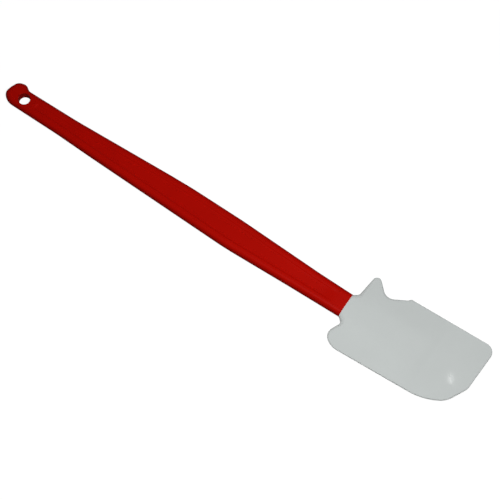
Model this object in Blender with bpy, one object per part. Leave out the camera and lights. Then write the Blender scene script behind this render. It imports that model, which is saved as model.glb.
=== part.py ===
"""Long rubber spatula: a moulded nylon handle and a silicone blade moulded over its tang.

The spatula lies flat. +X runs along the handle from the butt to the blade, +Y points to the side
of the horn and the notch, and +Z is up. The origin is under the middle of the bounding box, on
the surface that the handle rests on. Outlines are drawn in their own frame, whose origin is the
middle of the joint between handle and blade, halfway through the thickness.
"""

from math import acos, atan2, cos, pi, sin, tan

import bmesh
import bpy
from mathutils import Vector
from mathutils.geometry import delaunay_2d_cdt, intersect_point_line

# Clearance between solids that touch on the real spatula
GAP = 0.0003

# Handle bar
HANDLE_LENGTH = 0.3098
HANDLE_THICKNESS = 0.0085
SIDE_FLAT = 0.0005
BUTT_WIDTH = 0.0162
GRIP_START = 0.0528
GRIP_START_WIDTH = 0.0170
BELLY_BACK = 0.1480
BELLY_BACK_WIDTH = 0.0241
BELLY_FRONT = 0.1000
BELLY_FRONT_WIDTH = 0.0248
WAIST = 0.0430
WAIST_WIDTH = 0.0213
JOINT_WIDTH = 0.0197
SIDE_BLEND_RADIUS = 0.3000

# Hook bump and nose at the butt
HOOK_FOOT = 0.0151
HOOK_FOOT_RADIUS = 0.0057
HOOK_CREST = 0.0106
HOOK_CREST_RISE = 0.0032
HOOK_CREST_RADIUS = 0.0047
HOOK_BROW = 0.0038
HOOK_BROW_RISE = 0.0014
HOOK_BROW_RADIUS = 0.0066
NOSE_TOP = 0.0033
NOSE_TOP_RADIUS = 0.0066
NOSE_SLANT = 0.0013
NOSE_FOOT = 0.0025
NOSE_FOOT_RADIUS = 0.0055
HEEL = 0.0056
HEEL_RADIUS = 0.0110

# Hanging hole
HOLE_DIAMETER = 0.0095
HOLE_SETBACK = 0.0166
HOLE_CHAMFER = 0.0008

# Shallow panel in both faces of the handle
PANEL_DEPTH = 0.0006
PANEL_COVE = 0.0012
PANEL_RAIL = 0.0055
PANEL_START = 0.0268
PANEL_FLOOR_END = 0.0200
PANEL_RAMP_END = 0.0080
PANEL_CORNER_RADIUS = 0.0020

# Tang of the handle, inside the blade, with windows that the silicone fills
TANG_LENGTH = 0.0600
TANG_END_WIDTH = 0.0108
TANG_CORNER_RADIUS = 0.0030
WINDOW_COUNT = 3
WINDOW_LENGTH = 0.0100
WINDOW_WIDTH = 0.0050
WINDOW_START_MARGIN = 0.0140
WINDOW_END_MARGIN = 0.0060

# Blade outline, measured from the joint and from the handle's axis
BLADE_LENGTH = 0.1094
UPPER_EDGE_START = 0.0311
UPPER_EDGE_END = 0.0337
NECK_FLARE = 0.0036
NECK_FLARE_RISE = 0.0026
NECK_FLARE_RADIUS = 0.0030
HORN_SETBACK = 0.0064
HORN_CORNER = 0.0357
HORN_RADIUS = 0.0035
NOTCH_SETBACK = 0.0216
NOTCH_FLOOR = 0.0210
NOTCH_RADIUS = 0.0083
NOTCH_END = 0.0388
NOTCH_END_RADIUS = 0.0052
UPPER_CORNER_RADIUS = 0.0070
END_RAKE = 0.0014
END_EDGE_FOOT = 0.0037
END_EDGE_RADIUS = 0.0097
LOWER_CORNER_BACK = 0.0095
LOWER_CORNER_DROP = 0.0201
LOWER_CORNER_RADIUS = 0.0220
SWEEP_BACK = 0.0244
SWEEP_DROP = 0.0292
SWEEP_RADIUS = 0.0600
SHOULDER_FRONT = 0.0080
SHOULDER_FRONT_DROP = 0.0325
SHOULDER_FRONT_RADIUS = 0.0208
SHOULDER_BACK = 0.0031
SHOULDER_BACK_DROP = 0.0264
SHOULDER_BACK_RADIUS = 0.0097
ARMPIT = 0.0041
ARMPIT_DROP = 0.0036
ARMPIT_RADIUS = 0.0022

# Blade thickness: an even crown over the tang, which runs out past it, and flanks down to the rim
CROWN_WIDTH = 0.0130
CROWN_END_WIDTH = 0.0100
CROWN_BLEND = 0.0060
CROWN_END_THICKNESS = 0.0068
CROWN_RUNOUT = 0.0110
RUNOUT_THICKNESS = 0.0044
RIM_THICKNESS = 0.0018
FLANK_REACH = 0.0330

# Silicone over the tang
FACE_COVER = 0.0018
SIDE_COVER = 0.0033
END_COVER = 0.0035

# Line where the blade flexes, past the end of the crown
FLEX_SETBACK = 0.0035
FLEX_LIP = 0.0001

# Fineness of arcs and of the blade's surface, and the most of an edge that its arcs may take
ARC_FIT = 0.98
ARC_STEPS = 6
SIDE_STEPS = 5
EDGE_STEPS = 4
EDGE_PASSES = 6
HOLE_STEPS = 32
FLEX_STEPS = 10
GRID_STEP = 0.0080
RUNOUT_STEP = 0.0040
GRID_MARGIN = 0.0015

# How far a cutter reaches past what it cuts
OVERCUT = 0.0100

# Worked out from the sizes above
BUTT_X = -HANDLE_LENGTH
HOLE_X = BUTT_X + HOLE_SETBACK
CROWN_END = TANG_LENGTH + END_COVER
RUNOUT_END = CROWN_END + CROWN_RUNOUT
FLEX_X = RUNOUT_END + FLEX_SETBACK
FLEX_RADIUS = RUNOUT_THICKNESS / 2 + FLEX_LIP


def clear_scene():
    """Start from an empty scene."""
    for obj in list(bpy.data.objects):
        bpy.data.objects.remove(obj, do_unlink=True)


def between(start, end, share):
    """Value at a share of the way from start to end."""
    return start + (end - start) * share


def held(share):
    """A share held between nothing and all."""
    return min(max(share, 0.0), 1.0)


def eased(share):
    """A share that starts and stops gently."""
    return share * share * (3 - 2 * share)


def corner_shape(corners, index):
    """A corner's place, the unit directions to its neighbours, and half the angle between them."""
    place = Vector(corners[index][:2])
    back = Vector(corners[index - 1][:2]) - place
    ahead = Vector(corners[(index + 1) % len(corners)][:2]) - place
    back.normalize()
    ahead.normalize()
    half_angle = acos(min(max(back.dot(ahead), -1.0), 1.0)) / 2
    return place, back, ahead, half_angle


def is_straight(half_angle):
    """Whether an outline runs straight through a corner."""
    return half_angle > pi / 2 - 0.001


def limit_radii(corners):
    """Reduce the radii of neighbouring corners whose arcs would not fit on the edge between them."""
    tangents = []
    for index, corner in enumerate(corners):
        half_angle = corner_shape(corners, index)[3]
        tangents.append(0.0 if is_straight(half_angle) else corner[2] / tan(half_angle))
    limited = []
    for index, (x, y, radius) in enumerate(corners):
        share = 1.0
        for other in (index - 1, (index + 1) % len(corners)):
            edge = (Vector(corners[other][:2]) - Vector((x, y))).length
            wanted = tangents[index] + tangents[other]
            if wanted > edge * ARC_FIT:
                share = min(share, edge * ARC_FIT / wanted)
        limited.append((x, y, radius * share))
    return limited


def inset_corners(corners, distance):
    """The same anticlockwise outline moved inwards by a distance, each arc about its own centre."""
    moved = []
    for index, (x, y, radius) in enumerate(corners):
        place, back, ahead, half_angle = corner_shape(corners, index)
        convex = back.x * ahead.y - back.y * ahead.x < 0
        if is_straight(half_angle):
            inwards = Vector((-ahead.y, ahead.x))
        elif convex:
            inwards = (back + ahead).normalized()
        else:
            inwards = -(back + ahead).normalized()
        place = place + inwards * (distance / sin(half_angle))
        if radius > 0:
            radius = max(radius - distance if convex else radius + distance, GAP)
        moved.append((place.x, place.y, radius))
    return moved


def arc_points(corners, steps=ARC_STEPS):
    """Points of an outline given as corners (x, y, radius), each round corner drawn as an arc."""
    points = []
    for index, corner in enumerate(corners):
        place, back, ahead, half_angle = corner_shape(corners, index)
        radius = corner[2]
        if radius == 0 or is_straight(half_angle):
            points.append(place)
            continue
        centre = place + (back + ahead).normalized() * (radius / sin(half_angle))
        first = place + back * (radius / tan(half_angle)) - centre
        last = place + ahead * (radius / tan(half_angle)) - centre
        start = atan2(first.y, first.x)
        sweep = (atan2(last.y, last.x) - start + pi) % (2 * pi) - pi
        for step in range(steps + 1):
            angle = start + sweep * step / steps
            points.append(centre + radius * Vector((cos(angle), sin(angle))))
    return points


def circle_points(x, y, radius, steps):
    """Points of a circle, anticlockwise."""
    angles = [2 * pi * step / steps for step in range(steps)]
    return [Vector((x + radius * cos(angle), y + radius * sin(angle))) for angle in angles]


def at_height(points, z):
    """Flat points lifted to a height."""
    return [Vector((point.x, point.y, z)) for point in points]


def loft(bm, rings):
    """Walls between rings of points, bottom ring first, and the vertices of each ring."""
    loops = [[bm.verts.new(point) for point in ring] for ring in rings]
    for lower, upper in zip(loops, loops[1:]):
        for index in range(len(lower)):
            after = (index + 1) % len(lower)
            bm.faces.new((lower[index], lower[after], upper[after], upper[index]))
    return loops


def lofted_solid(rings):
    """A closed solid through rings of points, with a flat face on each end."""
    bm = bmesh.new()
    loops = loft(bm, rings)
    bm.faces.new(loops[0][::-1])
    bm.faces.new(loops[-1])
    bmesh.ops.recalc_face_normals(bm, faces=bm.faces)
    return bm


def cut_square(bm, x, keep_side):
    """Cut a solid square to X and close it, keeping its lower (-1) or its higher (+1) side."""
    geometry = bm.verts[:] + bm.edges[:] + bm.faces[:]
    cut = bmesh.ops.bisect_plane(
        bm, geom=geometry, dist=1e-7, plane_co=(x, 0, 0), plane_no=(-keep_side, 0, 0), clear_outer=True
    )
    edges = [item for item in cut["geom_cut"] if isinstance(item, bmesh.types.BMEdge)]
    bmesh.ops.edgeloop_fill(bm, edges=edges)
    bmesh.ops.recalc_face_normals(bm, faces=bm.faces)


def make_object(name, bm, parent, location=(0, 0, 0)):
    """Turn a bmesh into a named object under a parent."""
    mesh = bpy.data.meshes.new(name)
    bm.to_mesh(mesh)
    bm.free()
    mesh.shade_smooth()
    mesh.set_sharp_from_angle(angle=pi / 6)
    obj = bpy.data.objects.new(name, mesh)
    obj.parent = parent
    obj.location = location
    bpy.context.scene.collection.objects.link(obj)
    return obj


def make_cutter(name, bm, parent):
    """A helper solid that only shapes others."""
    cutter = make_object(name, bm, parent)
    cutter.hide_render = True
    cutter.display_type = "WIRE"
    return cutter


def combine(obj, operation, cutter):
    """Add a Boolean modifier."""
    modifier = obj.modifiers.new(operation.title() + " " + cutter.name, "BOOLEAN")
    modifier.operation = operation
    modifier.solver = "EXACT"
    modifier.object = cutter


def set_material(obj, name, colour, roughness, metallic=0.0):
    """Give an object its own Principled material."""
    material = bpy.data.materials.new(name)
    material.use_nodes = True
    shader = material.node_tree.nodes["Principled BSDF"]
    shader.inputs["Base Color"].default_value = (*colour, 1.0)
    shader.inputs["Roughness"].default_value = roughness
    shader.inputs["Metallic"].default_value = metallic
    obj.data.materials.append(material)


def handle_sides():
    """Half widths of the handle along its length, as (x, half width), butt first."""
    return [
        (BUTT_X, BUTT_WIDTH / 2),
        (BUTT_X + GRIP_START, GRIP_START_WIDTH / 2),
        (-BELLY_BACK, BELLY_BACK_WIDTH / 2),
        (-BELLY_FRONT, BELLY_FRONT_WIDTH / 2),
        (-WAIST, WAIST_WIDTH / 2),
        (0.0, JOINT_WIDTH / 2),
    ]


def handle_half_width(x):
    """Half width of the handle at one place along it."""
    sides = handle_sides()
    for (x_back, width_back), (x_front, width_front) in zip(sides, sides[1:]):
        if x <= x_front:
            break
    return between(width_back, width_front, (x - x_back) / (x_front - x_back))


def handle_corners():
    """Outline of the handle, carried past the joint, where it is then cut square."""
    butt = BUTT_WIDTH / 2
    joint = JOINT_WIDTH / 2
    sides = [(x, half_width, SIDE_BLEND_RADIUS) for x, half_width in handle_sides()[1:-1]]
    sides.append((0.0, joint, 0.0))
    sides.append((OVERCUT, joint, 0.0))
    lower_side = [(x, -half_width, radius) for x, half_width, radius in sides]
    nose = [
        (BUTT_X + HOOK_FOOT, butt, HOOK_FOOT_RADIUS),
        (BUTT_X + HOOK_CREST, butt + HOOK_CREST_RISE, HOOK_CREST_RADIUS),
        (BUTT_X + HOOK_BROW, butt + HOOK_BROW_RISE, HOOK_BROW_RADIUS),
        (BUTT_X + NOSE_SLANT, NOSE_TOP, NOSE_TOP_RADIUS),
        (BUTT_X, -NOSE_FOOT, NOSE_FOOT_RADIUS),
        (BUTT_X + HEEL, -butt, HEEL_RADIUS),
    ]
    return limit_radii(lower_side + sides[::-1] + nose)


def handle_bar():
    """The handle's bar, with round sides, cut square at the joint."""
    side_radius = (HANDLE_THICKNESS - SIDE_FLAT) / 2
    corners = handle_corners()
    upper_rings = []
    for step in range(SIDE_STEPS + 1):
        angle = pi / 2 * step / SIDE_STEPS
        ring = arc_points(inset_corners(corners, side_radius * (1 - cos(angle))))
        upper_rings.append((ring, SIDE_FLAT / 2 + side_radius * sin(angle)))
    rings = [at_height(ring, -z) for ring, z in upper_rings[::-1]]
    rings += [at_height(ring, z) for ring, z in upper_rings]
    bm = lofted_solid(rings)
    cut_square(bm, 0.0, keep_side=-1)
    return bm


def panel_corners(depth):
    """Outline of the shallow panel at a depth: coves at its sides, and a long ramp at its front end."""
    share = depth / PANEL_DEPTH
    inset = PANEL_COVE * share
    start = BUTT_X + PANEL_START + inset
    end = -between(PANEL_RAMP_END, PANEL_FLOOR_END, share)
    places = [start] + [x for x, _ in handle_sides() if start < x < end] + [end]
    upper = []
    for x in places:
        radius = PANEL_CORNER_RADIUS - inset if x in (start, end) else SIDE_BLEND_RADIUS
        upper.append((x, handle_half_width(x) - PANEL_RAIL - inset, radius))
    lower = [(x, -y, radius) for x, y, radius in upper]
    return limit_radii(lower + upper[::-1])


def panel_cutter(side):
    """What is taken from the upper (+1) or lower (-1) face to leave the panel."""
    face = HANDLE_THICKNESS / 2
    rings = [
        at_height(arc_points(panel_corners(PANEL_DEPTH)), side * (face - PANEL_DEPTH)),
        at_height(arc_points(panel_corners(0.0)), side * face),
        at_height(arc_points(panel_corners(0.0)), side * (face + OVERCUT)),
    ]
    return lofted_solid(rings)


def hole_cutter():
    """The hanging hole, with a chamfer at each face."""
    face = HANDLE_THICKNESS / 2
    radius = HOLE_DIAMETER / 2
    profile = [
        (face + OVERCUT, radius + HOLE_CHAMFER + OVERCUT),
        (face - HOLE_CHAMFER, radius),
    ]
    sections = [(-z, size) for z, size in profile] + profile[::-1]
    rings = [at_height(circle_points(HOLE_X, 0.0, size, HOLE_STEPS), z) for z, size in sections]
    return lofted_solid(rings)


def crown_half_width(x):
    """Half width of the even crown along the middle of the blade."""
    return between(CROWN_WIDTH, CROWN_END_WIDTH, held(x / CROWN_END)) / 2


def crown_half_thickness(x):
    """Half thickness of the blade on its middle line, which starts flush with the handle."""
    if x < CROWN_END:
        return between(HANDLE_THICKNESS, CROWN_END_THICKNESS, held(x / CROWN_END)) / 2
    if x < RUNOUT_END:
        share = eased((x - CROWN_END) / CROWN_RUNOUT)
        return between(CROWN_END_THICKNESS, RUNOUT_THICKNESS, share) / 2
    share = held((x - RUNOUT_END) / (BLADE_LENGTH - RUNOUT_END))
    return between(RUNOUT_THICKNESS, RIM_THICKNESS, share) / 2


def flank_fall(distance):
    """How far a flank has fallen, for a slope of one, at a distance past the crown's edge."""
    if distance <= 0:
        return 0.0
    if distance < CROWN_BLEND:
        return distance**2 / (2 * CROWN_BLEND)
    return distance - CROWN_BLEND / 2


def blade_half_thickness(x, y):
    """Half thickness of the blade: an even crown, and flanks that fall from it to the rim."""
    edge = crown_half_width(x)
    share = held(flank_fall(abs(y) - edge) / flank_fall(FLANK_REACH - edge))
    return between(crown_half_thickness(x), RIM_THICKNESS / 2, share)


def blade_corners():
    """Outline of the blade, carried back past the joint, where it is then cut square."""
    neck = JOINT_WIDTH / 2
    corners = [
        (0.0, -neck, 0.0),
        (ARMPIT, -neck - ARMPIT_DROP, ARMPIT_RADIUS),
        (-SHOULDER_BACK, -SHOULDER_BACK_DROP, SHOULDER_BACK_RADIUS),
        (SHOULDER_FRONT, -SHOULDER_FRONT_DROP, SHOULDER_FRONT_RADIUS),
        (BLADE_LENGTH - SWEEP_BACK, -SWEEP_DROP, SWEEP_RADIUS),
        (BLADE_LENGTH - LOWER_CORNER_BACK, -LOWER_CORNER_DROP, LOWER_CORNER_RADIUS),
        (BLADE_LENGTH - END_RAKE, -END_EDGE_FOOT, END_EDGE_RADIUS),
        (BLADE_LENGTH, UPPER_EDGE_END, UPPER_CORNER_RADIUS),
        (NOTCH_END, UPPER_EDGE_START, NOTCH_END_RADIUS),
        (NOTCH_SETBACK, NOTCH_FLOOR, NOTCH_RADIUS),
        (HORN_SETBACK, HORN_CORNER, HORN_RADIUS),
        (NECK_FLARE, neck + NECK_FLARE_RISE, NECK_FLARE_RADIUS),
        (0.0, neck, 0.0),
        (-OVERCUT, neck, 0.0),
        (-OVERCUT, -neck, 0.0),
    ]
    return limit_radii(corners)


def is_inside(point, ring, margin):
    """Whether a point lies inside a ring and at least a margin away from it."""
    crossings = 0
    for index, end in enumerate(ring):
        start = ring[index - 1]
        nearest, share = intersect_point_line(point, start, end)
        nearest = Vector(nearest[:2]) if 0 <= share <= 1 else (start if share < 0 else end)
        if (point - nearest).length < margin:
            return False
        if (start.y > point.y) != (end.y > point.y):
            if point.x < between(start.x, end.x, (point.y - start.y) / (end.y - start.y)):
                crossings += 1
    return crossings % 2 == 1


def steps_from(start, end, step=GRID_STEP):
    """Evenly spaced values from start to end, about one step apart."""
    count = max(1, round((end - start) / step))
    return [between(start, end, index / count) for index in range(count + 1)]


def blade_grid(ring):
    """Points inside the blade's faces, in rows across it and lines along its crown and flanks."""
    rows = steps_from(0.0, CROWN_END)
    rows += steps_from(CROWN_END, RUNOUT_END, RUNOUT_STEP)[1:]
    rows += steps_from(RUNOUT_END, FLEX_X)[1:]
    rows += steps_from(FLEX_X, BLADE_LENGTH)[1:]
    points = []
    for x in rows:
        edge = crown_half_width(x)
        heights = steps_from(edge, edge + CROWN_BLEND, CROWN_BLEND / 2)
        heights += steps_from(edge + CROWN_BLEND, FLANK_REACH)[1:]
        for y in [0.0] + heights + [-height for height in heights]:
            point = Vector((x, y))
            if is_inside(point, ring, GRID_MARGIN):
                points.append(point)
    return points


def close_with_grid(bm, loop, grid, side):
    """Close the upper (+1) or lower (-1) face with triangles that pass through the grid's points."""
    flat = [vertex.co.xy for vertex in loop] + grid
    boundary = list(range(len(loop)))
    result = delaunay_2d_cdt(flat, [], [boundary], 1, 1e-7)
    places, faces, origins = result[0], result[2], result[3]
    vertices = []
    for place, origin in zip(places, origins):
        if origin and min(origin) < len(loop):
            vertices.append(loop[min(origin)])
        else:
            height = side * blade_half_thickness(place.x, place.y)
            vertices.append(bm.verts.new((place.x, place.y, height)))
    for face in faces:
        bm.faces.new([vertices[index] for index in face][::side])


def edge_sections(corners):
    """Along the blade's outline: each place, the way inwards, and how deep the edge's round is."""
    outline = arc_points(corners)
    inside = arc_points(inset_corners(corners, GAP))
    sections = []
    for place, inner in zip(outline, inside):
        inwards = (inner - place) / GAP
        depth = 0.0
        for _ in range(EDGE_PASSES):
            reached = place + inwards * depth
            depth = blade_half_thickness(reached.x, reached.y) - SIDE_FLAT / 2
        sections.append((place, inwards, depth))
    return sections


def blade_solid():
    """The whole blade without its hollow: a round edge, which starts as the handle's side, and faces."""
    sections = edge_sections(blade_corners())
    upper_rings = []
    for step in range(EDGE_STEPS + 1):
        angle = pi / 2 * step / EDGE_STEPS
        ring = []
        for place, inwards, depth in sections:
            point = place + inwards * (depth * (1 - cos(angle)))
            ring.append(Vector((point.x, point.y, SIDE_FLAT / 2 + depth * sin(angle))))
        upper_rings.append(ring)
    lower_rings = [[Vector((x, y, -z)) for x, y, z in ring] for ring in upper_rings[::-1]]
    bm = bmesh.new()
    loops = loft(bm, lower_rings + upper_rings)
    grid = blade_grid([point.xy for point in upper_rings[-1]])
    close_with_grid(bm, loops[0], grid, -1)
    close_with_grid(bm, loops[-1], grid, 1)
    cut_square(bm, GAP, keep_side=1)
    return bm


def tang_solid(start, clearance):
    """The tang, or with a clearance the hollow that holds it, from a start short of the joint."""
    root = JOINT_WIDTH / 2 - SIDE_COVER - GAP
    end = TANG_END_WIDTH / 2
    corners = [
        (0.0, -root, 0.0),
        (TANG_LENGTH, -end, TANG_CORNER_RADIUS),
        (TANG_LENGTH, end, TANG_CORNER_RADIUS),
        (0.0, root, 0.0),
        (start, root, 0.0),
        (start, -root, 0.0),
    ]
    outline = arc_points(inset_corners(limit_radii(corners), -clearance))
    inside = FACE_COVER + GAP - clearance
    rings = []
    for side in (-1, 1):
        ring = []
        for point in outline:
            crown = between(HANDLE_THICKNESS, CROWN_END_THICKNESS, point.x / CROWN_END) / 2
            ring.append(Vector((point.x, point.y, side * (crown - inside))))
        rings.append(ring)
    return lofted_solid(rings)


def window_start(index):
    """Where a window of the tang starts, the windows being spread evenly between the margins."""
    last = TANG_LENGTH - WINDOW_END_MARGIN - WINDOW_LENGTH
    return between(WINDOW_START_MARGIN, last, index / max(WINDOW_COUNT - 1, 1))


def window_solid(index, clearance, half_height):
    """One window of the tang, or with a clearance the silicone that fills it."""
    start = window_start(index)
    half_width = WINDOW_WIDTH / 2
    corners = [
        (start, -half_width, half_width),
        (start + WINDOW_LENGTH, -half_width, half_width),
        (start + WINDOW_LENGTH, half_width, half_width),
        (start, half_width, half_width),
    ]
    outline = arc_points(inset_corners(limit_radii(corners), clearance))
    return lofted_solid([at_height(outline, -half_height), at_height(outline, half_height)])


def flex_cutter(radius):
    """Everything past the flex line, and a round of the given radius about that line."""
    tall = HANDLE_THICKNESS + OVERCUT
    profile = [(BLADE_LENGTH + OVERCUT, -tall), (BLADE_LENGTH + OVERCUT, tall), (FLEX_X, tall)]
    for step in range(FLEX_STEPS + 1):
        angle = pi / 2 + pi * step / FLEX_STEPS
        profile.append((FLEX_X + radius * cos(angle), radius * sin(angle)))
    profile.append((FLEX_X, -tall))
    reach = max(UPPER_EDGE_END, SHOULDER_FRONT_DROP) + OVERCUT
    return lofted_solid([[Vector((x, y, z)) for x, z in profile] for y in (-reach, reach)])


def make_handle(parent):
    """The red handle: bar, panels, hanging hole, and the tang that the blade is moulded over."""
    handle = make_object("handle", handle_bar(), parent)
    tang = make_cutter("tang_form", tang_solid(-OVERCUT / 2, 0.0), parent)
    combine(handle, "UNION", tang)
    for index in range(WINDOW_COUNT):
        window = window_solid(index, 0.0, HANDLE_THICKNESS)
        combine(handle, "DIFFERENCE", make_cutter(f"window_cutter_{index + 1}", window, parent))
    for name, side in (("upper", 1), ("lower", -1)):
        panel = make_cutter(f"{name}_panel_cutter", panel_cutter(side), parent)
        combine(handle, "DIFFERENCE", panel)
    combine(handle, "DIFFERENCE", make_cutter("hole_cutter", hole_cutter(), parent))
    set_material(handle, "red_nylon", (0.34, 0.004, 0.002), 0.38)


def make_blade_root(parent):
    """The part of the blade that is moulded over the tang, up to the flex line."""
    root = make_object("blade_root", blade_solid(), parent)
    hollow = make_cutter("tang_hollow", tang_solid(-OVERCUT / 2, GAP), parent)
    combine(root, "DIFFERENCE", hollow)
    for index in range(WINDOW_COUNT):
        middle = window_start(index) + WINDOW_LENGTH / 2
        fill_height = crown_half_thickness(middle) - FACE_COVER / 2
        fill = window_solid(index, GAP, fill_height)
        combine(root, "UNION", make_cutter(f"window_fill_{index + 1}", fill, parent))
    flex = make_cutter("flex_groove_cutter", flex_cutter(FLEX_RADIUS + GAP), parent)
    combine(root, "DIFFERENCE", flex)
    set_material(root, "pale_silicone", (0.52, 0.55, 0.54), 0.5)


def make_blade_tip(parent):
    """The part of the blade past the flex line, with its origin on that line."""
    bm = blade_solid()
    bmesh.ops.translate(bm, verts=bm.verts, vec=(-FLEX_X, 0, 0))
    tip = make_object("blade_tip", bm, parent, location=(FLEX_X, 0, 0))
    keeper = make_cutter("flex_round_keeper", flex_cutter(FLEX_RADIUS), parent)
    combine(tip, "INTERSECT", keeper)
    set_material(tip, "pale_silicone_tip", (0.52, 0.55, 0.54), 0.5)


def frame_offset():
    """Where the outlines' frame lies, so that the bounding box stands on the origin."""
    points = arc_points(handle_corners()) + arc_points(blade_corners())
    xs = [point.x for point in points]
    ys = [point.y for point in points]
    return (-(min(xs) + max(xs)) / 2, -(min(ys) + max(ys)) / 2, HANDLE_THICKNESS / 2)


def main():
    clear_scene()
    frame = bpy.data.objects.new("spatula_frame", None)
    frame.location = frame_offset()
    bpy.context.scene.collection.objects.link(frame)
    make_handle(frame)
    make_blade_root(frame)
    make_blade_tip(frame)


main()
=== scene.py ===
"""Long kitchen spatula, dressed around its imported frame: a moulded nylon handle and a silicone blade.

Outlines are drawn in a frame of their own. Its origin is the middle of the joint between handle and
blade, +X runs to the end of the blade, +Y points to the side of the horn and the notch, and Z is
measured from the middle of the thickness. Sizes are in metres.
"""

from math import acos, atan2, cos, pi, radians, sin, tan

import bmesh
import bpy
import numpy as np
from bpy.props import FloatProperty, FloatVectorProperty, PointerProperty
from mathutils import Matrix, Vector
from mathutils.geometry import delaunay_2d_cdt


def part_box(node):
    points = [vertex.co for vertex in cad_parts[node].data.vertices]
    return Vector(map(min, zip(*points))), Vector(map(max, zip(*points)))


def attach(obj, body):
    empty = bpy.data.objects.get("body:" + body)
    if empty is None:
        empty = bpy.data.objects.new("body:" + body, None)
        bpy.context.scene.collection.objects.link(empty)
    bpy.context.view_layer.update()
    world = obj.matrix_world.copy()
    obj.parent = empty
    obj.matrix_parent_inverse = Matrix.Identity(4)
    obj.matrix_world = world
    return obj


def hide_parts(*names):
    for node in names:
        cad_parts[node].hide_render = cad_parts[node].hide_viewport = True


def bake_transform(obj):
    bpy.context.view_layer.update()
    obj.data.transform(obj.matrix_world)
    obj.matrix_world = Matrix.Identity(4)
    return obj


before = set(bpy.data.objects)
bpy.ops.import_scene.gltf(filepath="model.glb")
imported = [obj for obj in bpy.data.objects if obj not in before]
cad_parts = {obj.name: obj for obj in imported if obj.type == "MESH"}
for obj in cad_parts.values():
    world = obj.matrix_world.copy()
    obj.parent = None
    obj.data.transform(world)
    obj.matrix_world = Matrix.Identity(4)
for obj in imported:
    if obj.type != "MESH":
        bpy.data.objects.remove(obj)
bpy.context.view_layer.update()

bl_info = {
    "name": "Silicone spatula",
    "version": (1, 0, 0),
    "blender": (4, 5, 0),
    "location": "View3D > Sidebar > Spatula",
    "description": "Builds a long silicone spatula and the studio that shows it",
    "category": "Add Mesh",
}

HANDLE_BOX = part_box("handle")

# Half widths of the handle at distances back from the joint, between its butt and its joint: on the
# side away from the hook (-1), and on the hook's side (1), where the belly comes sooner
HANDLE_HALF_WIDTHS = {
    -1: ((0.2570, 0.0084), (0.2250, 0.0095), (0.1000, 0.0126), (0.0430, 0.0108)),
    1: ((0.2500, 0.0086), (0.1650, 0.0122), (0.1450, 0.01275), (0.1000, 0.01245), (0.0300, 0.01015)),
}

# Corners round the butt: distance from the butt, height, radius. The hook bump's heights are measured
# from the handle's side, and the nose's from its axis. The heel, which has none, is on the other side.
HOOK = ((0.0151, 0.0, 0.0057), (0.0106, 0.0032, 0.0047), (0.0038, 0.0014, 0.0066))
NOSE = ((0.0013, 0.0033, 0.0066), (0.0, -0.0025, 0.0055))
HEEL = (0.0056, 0.0110)

# Corners of the blade's outline: distance, place across, radius. The distance is measured from the
# joint, but in BLADE_END back from the blade's end. The notch's last corner is the horn's tip. The
# armpit and the neck's flare lie as far out from the side of the neck as their second number says.
BLADE_SHOULDER = ((-0.0018, -0.0261, 0.0097), (0.0080, -0.0325, 0.0208))
BLADE_END = (
    (0.0247, -0.02865, 0.0600), (0.0097, -0.0199, 0.0220), (0.0014, -0.0037, 0.0097), (0.0, 0.0337, 0.0070),
)
BLADE_NOTCH = (
    (0.0376, 0.0311, 0.0015), (0.0360, 0.0291, 0.0025), (0.0215, 0.0209, 0.0080), (0.0064, 0.0357, 0.0035),
)
ARMPIT = (0.0041, 0.0036, 0.0022)
NECK_FLARE = (0.0036, 0.0026, 0.0030)

# How far out from the axis the cut at the joint reaches, in half widths of the neck. The blade's
# shoulder, which reaches back to the joint, lies further out and stays whole.
NECK_REACH = 1.5

# Windows in the tang
WINDOWS = 3

# The soft key lamp: its place and what it faces, both from the joint, and its size
KEY_PLACE = (0.05, -0.10, 0.617)
KEY_TARGET = (0.03, 0.0, 0.0)
KEY_SIZE = (0.25, 0.25)

# The spot of the blade that mirrors the small lamp, as its distance from the joint and its place
# across, and the lamp's size
GLINT = (0.0938, -0.0047)
GLINT_SIZE = (0.003, 0.014)

# Where the clear sheen of the blade's thin end starts and where it is full, from the joint
GLOSS = (0.076, 0.090)

# How much rougher a moulding is along its edges than on its faces
EDGE_ROUGHNESS = 0.35

# Between which values most of a noise lies
NOISE_SPAN = (0.35, 0.65)

# Fineness of the meshes
ARC_STEPS = 12
INNER_ARC_STEPS = 6
EDGE_STEPS = 14
DEPTH_PASSES = 6
PANEL_RINGS = 8
HOLE_STEPS = 96
OUTLINE_STEP = 0.0018
GRID_STEP = 0.0016
SUPPORT = 0.0002
TINY = 1e-7

# How far an outline is carried past the joint before it is cut there
OVERCUT = 0.01


def length(name, default, note):
    """A size in metres."""
    return FloatProperty(
        name=name, description=note, default=default, min=0.0, precision=5, subtype="DISTANCE", unit="LENGTH"
    )


def level(name, default, note, most=1.0):
    """A plain number."""
    return FloatProperty(name=name, description=note, default=default, min=0.0, max=most, precision=4)


def angle(name, degrees, note):
    """An angle, its default given in degrees."""
    return FloatProperty(name=name, description=note, default=radians(degrees), subtype="ANGLE")


def colour(name, default, note):
    """A linear colour."""
    return FloatVectorProperty(
        name=name, description=note, default=default, size=3, min=0.0, max=1.0, subtype="COLOR"
    )


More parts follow.
